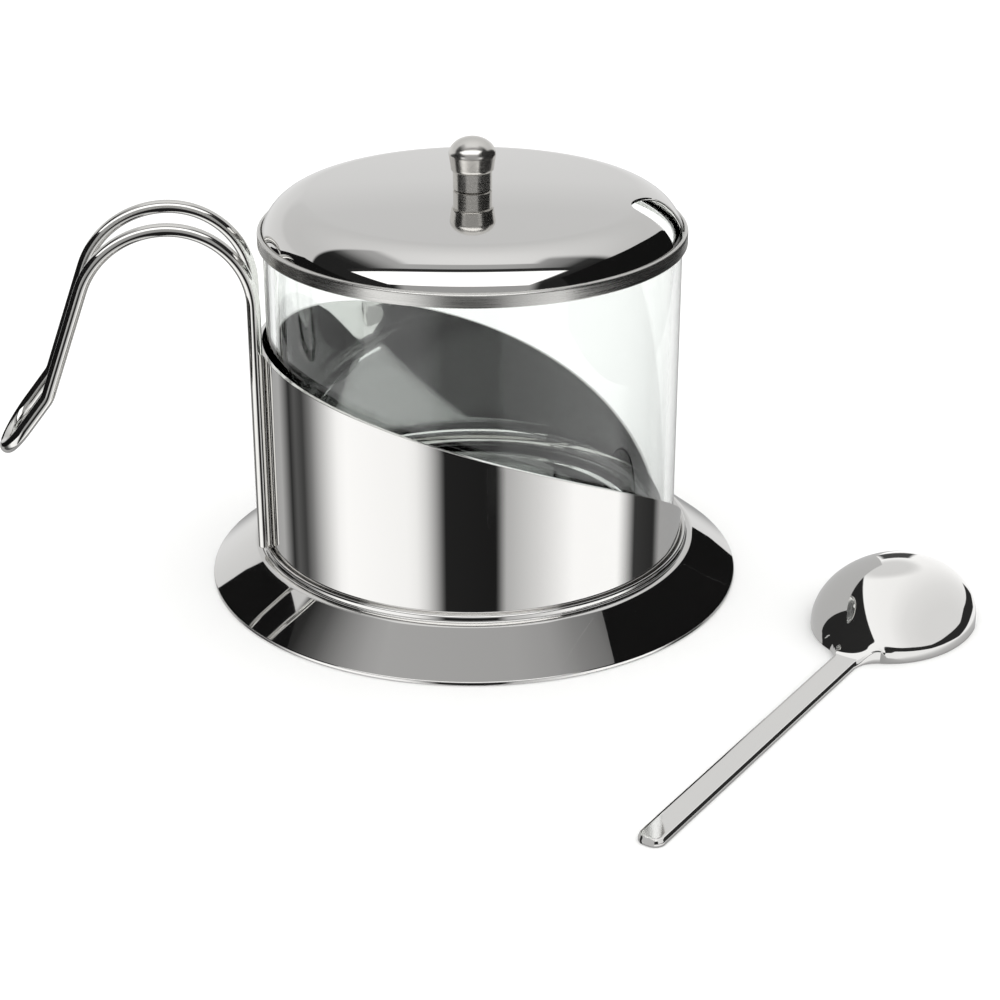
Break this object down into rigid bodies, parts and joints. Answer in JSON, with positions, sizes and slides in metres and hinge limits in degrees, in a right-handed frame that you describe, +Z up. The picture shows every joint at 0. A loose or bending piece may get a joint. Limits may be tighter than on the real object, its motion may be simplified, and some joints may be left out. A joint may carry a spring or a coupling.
{
  "type": "sugar bowl",
  "caption": "Round glass bowl in a cut-away steel holder with a double-wire handle, a notched steel lid with a turned knob, and a spoon lying face down beside it.",
  "frame": {"origin": "on the table, under the middle of the round foot, on the bowl's upright axis", "axes": "+Z up along the bowl's axis; the wire handle points along -X; the spoon lies on the -Y side"},
  "size_m": [0.2056, 0.1775, 0.0972],
  "materials": {
    "polished_steel": "mirror polished stainless steel",
    "brushed_band": "finely brushed around the rim",
    "plain_steel": "plain satin",
    "clear_glass": "clear, polished"
  },
  "bodies": {
    "holder": {"foot": "polished_steel", "base_plate": "polished_steel", "sleeve": "polished_steel", "handle": "polished_steel"},
    "glass": {"glass_insert": "clear_glass"},
    "knob_and_screw": {"knob": "polished_steel", "knob_screw": "plain_steel", "washer": "plain_steel"},
    "lid": {"lid_shell": "polished_steel", "lid_band": "brushed_band"},
    "spoon": {"spoon": "polished_steel"}
  },
  "joints": [
    {"name": "glass_lift", "type": "slide", "parent": "holder", "child": "glass", "axis": [0, 0, 1], "range_m": [0, 0.09]},
    {"name": "lid_lift", "type": "slide", "parent": "glass", "child": "knob_and_screw", "axis": [0, 0, 1], "range_m": [0, 0.06]},
    {"name": "lid_turn", "type": "hinge", "parent": "knob_and_screw", "child": "lid", "pos_m": [0, 0, 0.085], "axis": [0, 0, 1], "continuous": true},
    {"name": "spoon_lift", "type": "slide", "parent": "holder", "child": "spoon", "axis": [0, 0, 1], "range_m": [0, 0.12]}
  ]
}
